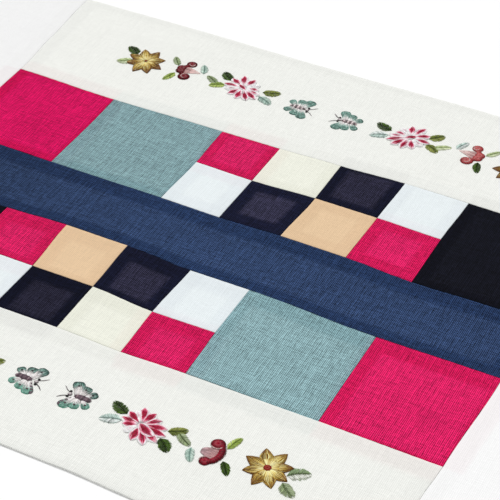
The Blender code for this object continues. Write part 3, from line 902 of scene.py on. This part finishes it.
# The star: the way each petal points, in degrees, how far from the middle they start and reach, and their
# width. Then the heart's colour and radius, how much deeper than the table the golds are, and how much they
# differ from petal to petal.
STAR_ANGLES = {
    "far": [32, 79, 120, 169, 214, 263, 301, 343],
    "near": [33, 82, 123, 163, 208, 252, 298, 347],
}
STAR_START = 1.0
STAR_REACHES = [16.0, 17.8, 18.0, 16.8, 16.8, 18.4, 18.0, 17.2]
STAR_WIDTH = 9.8
STAR_HEARTS = {"far": (BRONZE, 1.2), "near": (RUST, 2.8)}
STAR_DEPTHS = {"far": 0.10, "near": 0.0}
STAR_UNEVENNESS = 0.12


def star(draw, border, side):
    made = []
    petals = ring_of_forms(STAR_ANGLES[border], STAR_START, STAR_REACHES, STAR_WIDTH)
    for number, form in enumerate(petals):
        deeper = STAR_DEPTHS[border] + STAR_UNEVENNESS * math.sin(2.1 * number)
        made += fill_along(form, STAR_RIBS, PETAL_PAD, gold_at(deeper), draw)
    colour, radius = STAR_HEARTS[border]
    return made + fill_curl(disc(0, 0, radius), HEART_PAD, plain(colour, RUST), draw, lift=0.6)


# Dahlia petals: the way each points, in degrees, how far it reaches and how deep its crimson core is
DAHLIA_PETALS = {
    "far": [
        (149, 16.6, 1.0), (112, 18.0, 1.0), (75, 15.8, 1.0), (40, 14.6, 0.1),
        (8, 13.6, 0.75), (-13, 17.0, 0.5), (-34, 19.4, 1.0), (-57, 18.8, 1.0),
        (-86, 17.0, 1.0), (-117, 15.8, 1.0), (-150, 14.8, 0.2), (-176, 16.8, 0.95),
    ],
    "near": [
        (-31, 15.0, 1.0), (-52, 14.0, 0.2), (-71, 16.6, 0.95), (-105, 14.4, 1.0),
        (-138, 14.4, 0.85), (-167, 17.8, 0.95), (173, 19.4, 1.0), (149, 19.6, 1.0),
        (122, 19.2, 0.95), (94, 15.6, 1.0), (56, 12.6, 0.1), (20, 12.4, 0.9),
        (-4, 14.8, 0.85),
    ],
}
DAHLIA_CORES = {"far": Core(0.60, 0.29, 0.46), "near": Core(0.52, 0.38, 0.54)}

# How far from their meeting point the petals start, their width, and the white line along both their edges
DAHLIA_START = 2.2
DAHLIA_WIDTH = 7.8
WHITE_EDGES = (-0.94, 0.94)
WHITE_SPAN = (0.25, 0.97)

# The dahlia's heart: how far the petals' meeting point stands aside, and the petal laid over it
DAHLIA_ASIDE = {"far": 0.0, "near": 3.4}
DAHLIA_HEARTS = {
    "far": Form(-4.4, 2.2, 3.8, -3.4, 5.0, 0.3),
    "near": Form(4.4, -0.8, -9.4, 6.6, 8.6, -0.9),
}
HEART_CORE = Core(0.42, 0.40, 0.52)


def dahlia(draw, border, side):
    made = []
    angles, reaches, depths = zip(*DAHLIA_PETALS[border])
    forms = ring_of_forms(angles, DAHLIA_START, reaches, DAHLIA_WIDTH, DAHLIA_ASIDE[border])
    for form, depth in zip(forms, depths):
        colour_at = dahlia_at(DAHLIA_CORES[border], depth)
        made += fill_along(form, DAHLIA_RIBS, PETAL_PAD, colour_at, draw)
        for edge in WHITE_EDGES:
            made += trace(form, DAHLIA_RIBS, edge, WHITE_SPAN, SILK_WHITE, PETAL_PAD, draw)
    heart = DAHLIA_HEARTS[border]
    return made + fill_along(heart, LEAF_RIBS, HEART_PAD, dahlia_at(HEART_CORE, 1.0), draw, lift=0.5)


# The fungus: its curl and its lobes, the paler gleams on them, its stem, and the colours of the stem and of
# the curls
FUNGUS_CURLS = {
    "far": [
        Curl(4.4, 0.6, 5.0, 9.8, 112, 136), disc(-3.6, 1.9, 4.1), disc(-3.0, -2.0, 4.1),
        disc(1.2, 10.1, 4.4), disc(3.2, -8.6, 5.0),
    ],
    "near": [Curl(6.4, -0.2, 7.6, 13.2, 106, 132), disc(1.8, -8.4, 4.9), disc(2.4, 9.2, 3.9)],
}
FUNGUS_GLEAMS = {
    "far": [Curl(1.9, 9.4, 1.7, 2.6, 200, 200), Curl(3.9, -8.2, 2.5, 3.4, 80, 200)],
    "near": [Curl(1.8, -8.4, 4.2, 5.1, 50, 100), Curl(2.4, 9.2, 3.3, 4.1, 270, 110)],
}
FUNGUS_STEMS = {
    "far": Form(-1.6, 0.4, 13.4, 1.4, 9.6, 0.3),
    "near": Form(-3.0, 0.0, 9.2, 1.0, 11.6, 0.3),
}
FUNGUS_PINKS = {"far": (DUSTY_PINK, BEIGE), "near": (DUSTY_PINK, DUSTY_MAUVE)}
FUNGUS_REDS = {
    ("far", "left"): (WINE_DARK, WINE), ("far", "right"): (WINE_LIGHT, WINE_PALE),
    ("near", "left"): (WINE_DARK, WINE_RED), ("near", "right"): (WINE_DARK, WINE_RED),
}


def fungus(draw, border, side):
    deep, light = FUNGUS_REDS[border, side]
    stem, ribs = FUNGUS_STEMS[border], STEM_RIBS[border]
    made = fill_along(stem, ribs, STEM_PAD, plain(*FUNGUS_PINKS[border]), draw)
    for curl in FUNGUS_CURLS[border]:
        slim = 0.3 if curl.sweep < FULL_TURN else 0
        made += fill_curl(curl, CURL_PAD, plain(light, deep), draw, lift=0.12, slim=slim)
    for curl in FUNGUS_GLEAMS[border]:
        made += fill_curl(curl, SPOT_PAD, plain(DUSTY_PINK, BEIGE), draw, lift=0.85)
    return made


# A butterfly's lobes on one side, from its body out; the other side has their mirror images
WINGS = [
    Form(2.4, 0.8, 7.8, 13.4, 8.6, 0.5),
    Form(-0.2, 0.8, -1.0, 11.6, 7.6, 0.0),
    Form(-2.6, 0.8, -9.8, 7.8, 6.2, 0.0),
]

# The wings' colours on each side of the body, from the body out, the line round them, the spot on each
# lobe and the front edge by the head
Wing = namedtuple("Wing", "stops line spot front")
FAR_WING = Wing(
    [(0.3, MIST), (0.5, TEAL_PALE), (0.66, DEEP_TEAL), (0.8, TEAL_PALE), (1.0, DEEP_TEAL)],
    None, None, None)
GREEN_WING = Wing(
    [(0.52, MIST), (0.64, TEAL_PALE), (0.78, TEAL_GREEN), (0.9, TEAL_PALE), (1.05, TEAL_GREEN)],
    None, MAUVE_DARK, MAUVE)
GREY_WING = Wing(
    [(0.5, MIST), (0.62, VEIN), (0.74, TEAL_PALE), (0.88, DEEP_TEAL), (1.1, SLATE)],
    SLATE, INK, None)

BUTTERFLY_WINGS = {"far": (FAR_WING, FAR_WING), "near": (GREEN_WING, GREY_WING)}

# Lines of stitches on a lobe: how near its edge each is, and which part of its length it runs along
EDGE_LINES = (-0.97, 0.97)
EDGE_SPAN = (0.5, 0.98)
FRONT_LINES = (0.97, 0.87, 0.77, 0.67, 0.57, 0.47)
FRONT_SPAN = (0.14, 0.95)

# The spot on a lobe: how far from base to tip it lies, and its radius
SPOT_PLACE = 0.64
SPOT_RADIUS = 0.9

# The body's shape, its bands from dark to light, and how plainly the bands show
Body = namedtuple("Body", "form bands contrast")
BUTTERFLY_BODIES = {
    "far": Body(Form(-8.0, 0.0, 5.6, 0.0, 5.4, 0.0), (VEIN, DUSTY_MAUVE, MIST), 1.0),
    "near": Body(Form(-9.0, 0.0, 3.8, 0.0, 6.4, 0.0), (MAUVE_DARK, MAUVE, DUSTY_MAUVE), 0.4),
}
BUTTERFLY_HEAD = disc(7.0, 0.0, 1.6, 0.1)
BUTTERFLY_EYE = disc(7.6, 2.6, 1.0, 0.05)

# The feeler beside the head: the points along it, its height and its width
FEELER = ((7.6, 1.4), (10.8, 3.2), (13.8, 6.0))
FEELER_HEIGHT = 0.3
FEELER_WIDTH = 0.55


def wing_side(wing, turn, draw):
    """The lobes on one side of the body, with the lines, spots and front edge that its wing has."""
    made = []
    for lobe in reversed(WINGS):
        form = lobe._replace(base_y=turn * lobe.base_y, tip_y=turn * lobe.tip_y, bend=turn * lobe.bend)
        made += fill_along(form, WING_RIBS, WING_PAD, wing_at(wing.stops), draw)
        if wing.line:
            for edge in EDGE_LINES:
                made += trace(form, WING_RIBS, edge, EDGE_SPAN, wing.line, WING_PAD, draw)
        if wing.spot:
            x, y = on_form(form, WING_RIBS, np.array([SPOT_PLACE]), np.array([0.0]))[0]
            made += fill_curl(disc(x, y, SPOT_RADIUS, 0.05), SPOT_PAD, plain(wing.spot), draw, lift=0.55)
        if wing.front and lobe is WINGS[0]:
            for edge in FRONT_LINES:
                made += trace(form, WING_RIBS, -turn * edge, FRONT_SPAN, wing.front, WING_PAD, draw)
    return made


def feeler_and_eye(turn, draw):
    """The feeler and the eye on one side of the head."""
    feeler = np.array(FEELER) * (1, turn)
    places = np.stack([np.interp(ALONG, (0, 0.5, 1), feeler[:, axis]) for axis in (0, 1)], -1)[None]
    heights = np.full((1, STATIONS), FEELER_HEIGHT)
    colours = blend([(0, INK), (1, MAUVE)], ALONG[None])
    made = [stitches(places, heights, colours, draw, width=FEELER_WIDTH)]
    eye = BUTTERFLY_EYE._replace(y=turn * BUTTERFLY_EYE.y)
    return made + fill_curl(eye, EYE_PAD, plain(INK), draw, lift=0.4)


def butterfly(draw, border, side):
    made = []
    for turn, wing in zip((1, -1), BUTTERFLY_WINGS[border]):
        made += wing_side(wing, turn, draw) + feeler_and_eye(turn, draw)
    body = BUTTERFLY_BODIES[border]
    made += fill_across(body.form, LEAF_RIBS, BODY_PAD, body_at(body), draw, lift=0.15)
    return made + fill_curl(BUTTERFLY_HEAD, HEART_PAD, plain(MIST, MAUVE), draw, lift=0.3)


# What makes each kind of motif's stitches, for a border and a side of it
MOTIF_FILLS = {"star": star, "dahlia": dahlia, "fungus": fungus, "butterfly": butterfly}

# The motifs' places, as in the solids: how far each stands off its garland's line, then the middle of
# each garland, the way its motifs face, and how far each kind stands from the middle on both sides
RISES = {"butterfly": -2.4, "dahlia": 1.5, "fungus": 2.4, "star": -1.2}
Garland = namedtuple("Garland", "middle_x y turn butterfly dahlia fungus star")
GARLANDS = {
    "far": Garland(5.3, 188.3, 1, 21.0, 72.2, 125.0, 158.9),
    "near": Garland(-15.9, -189.2, -1, 19.7, 70.8, 120.8, 155.9),
}

# No stretch of a stitch is taken as shorter than this
LEAST_RUN = 1e-6


def thread_mesh(name, made, place):
    """All stitches of one motif as closed, flattened threads."""
    points, widths, colours = (np.concatenate(parts) for parts in zip(*made))
    points = place(points)
    run = np.gradient(points, axis=1)
    side = np.stack([-run[..., 1], run[..., 0], 0 * run[..., 0]], -1)
    side /= np.maximum(np.linalg.norm(side, axis=-1, keepdims=True), LEAST_RUN)
    up = np.array([0, 0, 1.0])
    half = widths[..., None] / 2
    ring = [side * half, up * half * THREAD_FLATNESS, -side * half, -up * half * THREAD_FLATNESS]
    verts = np.stack([points + offset for offset in ring], 2).reshape(-1, 3)
    corner = np.arange(4)
    after = (corner + 1) % 4
    band = np.stack([corner, after, after + 4, corner + 4], -1)
    faces = [4 * station + band for station in range(STATIONS - 1)]
    faces = np.vstack([*faces, [[3, 2, 1, 0]], [4 * (STATIONS - 1) + corner]])
    starts = np.arange(len(points)) * 4 * STATIONS
    faces = (faces[None] + starts[:, None, None]).reshape(-1, 4)
    return add_mesh(name, verts, faces, np.repeat(colours.reshape(-1, 3), 4, 0), "silk")


def add_motif(border, side, kind, seed):
    """One embroidered motif with its leaves, in the place of its solid."""
    node = f"{border}_{side}_{kind}"
    garland = GARLANDS[border]
    outward = 1 if side == "right" else -1
    draw = np.random.default_rng(seed)
    made = []
    shades = getattr(GARLAND_SHADES[border, side], kind, "").split()
    forms = LEAVES.get(kind) or LEAVES.get(f"{border} {kind}", [])
    for form, shade in zip(forms, shades):
        made += fill_leaf(form, LEAF_SHADES[shade], LEAF_PAD, draw)
    made += MOTIF_FILLS[kind](draw, border, side)
    centre_x = garland.middle_x + outward * getattr(garland, kind)
    centre_y = garland.y + garland.turn * RISES[kind]
    sides = SIDES[f"border_{border}"]

    def place(points):
        x = centre_x - outward * points[..., 0]
        y = centre_y + garland.turn * points[..., 1]
        edge = np.min(distances(sides, x, y), 0)
        return np.stack([x, y, cloth_top(x, y, edge) + points[..., 2]], -1)

    piece = thread_mesh(f"{node}_silk", made, place)
    stand_for(piece, node)
    return piece


# Camera, floor and lights

CAMERA_TARGET = Vector((0.0317, 0.0046, 0.0012))
CAMERA_DISTANCE = 1.3941
CAMERA_AZIMUTH = math.radians(25.37)
CAMERA_ELEVATION = math.radians(37.91)
CAMERA_ROLL = math.radians(1.88)
LENS = 141.04
NEAREST_SEEN = 0.01


def add_camera():
    """The camera at the photo's angle: azimuth 0 looks along +Y."""
    back = Vector((
        math.sin(CAMERA_AZIMUTH) * math.cos(CAMERA_ELEVATION),
        -math.cos(CAMERA_AZIMUTH) * math.cos(CAMERA_ELEVATION),
        math.sin(CAMERA_ELEVATION),
    ))
    camera = bpy.data.objects.new("camera", bpy.data.cameras.new("camera"))
    camera.data.lens = LENS
    camera.data.clip_start = NEAREST_SEEN
    turn = (-back).to_track_quat("-Z", "Y").to_matrix().to_4x4()
    place = Matrix.Translation(CAMERA_TARGET + back * CAMERA_DISTANCE)
    camera.matrix_world = place @ turn @ Matrix.Rotation(CAMERA_ROLL, 4, "Z")
    bpy.context.scene.collection.objects.link(camera)
    bpy.context.scene.camera = camera


FLOOR_HALF = 6.0
FLOOR_DROP = 0.0002
FLOOR_CORNERS = ((-1, -1), (1, -1), (1, 1), (-1, 1))
FLOOR_WHITE = 0.985
FLOOR_ROUGHNESS = 0.8
FLOOR_GLOSS = 0.1


def add_floor():
    """A plain white floor just under the mat."""
    mesh = bpy.data.meshes.new("floor")
    places = [(x * FLOOR_HALF, y * FLOOR_HALF, -FLOOR_DROP) for x, y in FLOOR_CORNERS]
    mesh.from_pydata(places, [], [(0, 1, 2, 3)])
    floor = bpy.data.objects.new("floor", mesh)
    bpy.context.scene.collection.objects.link(floor)
    made, _, shader = new_material("floor", FLOOR_ROUGHNESS, Specular_IOR_Level=FLOOR_GLOSS)
    shader.inputs["Base Color"].default_value = (FLOOR_WHITE, FLOOR_WHITE, FLOOR_WHITE, 1)
    floor.data.materials.append(made)


# One broad soft light from above the far left, and even light all round
LIGHT_FROM = Vector((-0.45, 0.75, 1.0))
LIGHT_STRENGTH = 1.76
LIGHT_SPREAD = math.radians(14)
ROUND_STRENGTH = 0.60


def add_lights():
    scene = bpy.context.scene
    data = bpy.data.lights.new("key", "SUN")
    data.energy = LIGHT_STRENGTH
    data.angle = LIGHT_SPREAD
    key = bpy.data.objects.new("key", data)
    key.location = LIGHT_FROM
    key.rotation_euler = LIGHT_FROM.to_track_quat("Z", "Y").to_euler()
    scene.collection.objects.link(key)
    world = bpy.data.worlds.new("studio")
    world.use_nodes = True
    background = world.node_tree.nodes["Background"]
    background.inputs["Color"].default_value = (1, 1, 1, 1)
    background.inputs["Strength"].default_value = ROUND_STRENGTH
    scene.world = world
    scene.view_settings.view_transform = "Standard"


add_camera()
add_floor()
add_lights()

silks = {"far": [], "near": []}
seed = 0
for border in silks:
    for side in ("left", "right"):
        for kind in MOTIF_FILLS:
            seed += 1
            silks[border].append(add_motif(border, side, kind, seed))

for cloth_node in CLOTH_NODES:
    cloth, cut = add_sheet(cloth_node)
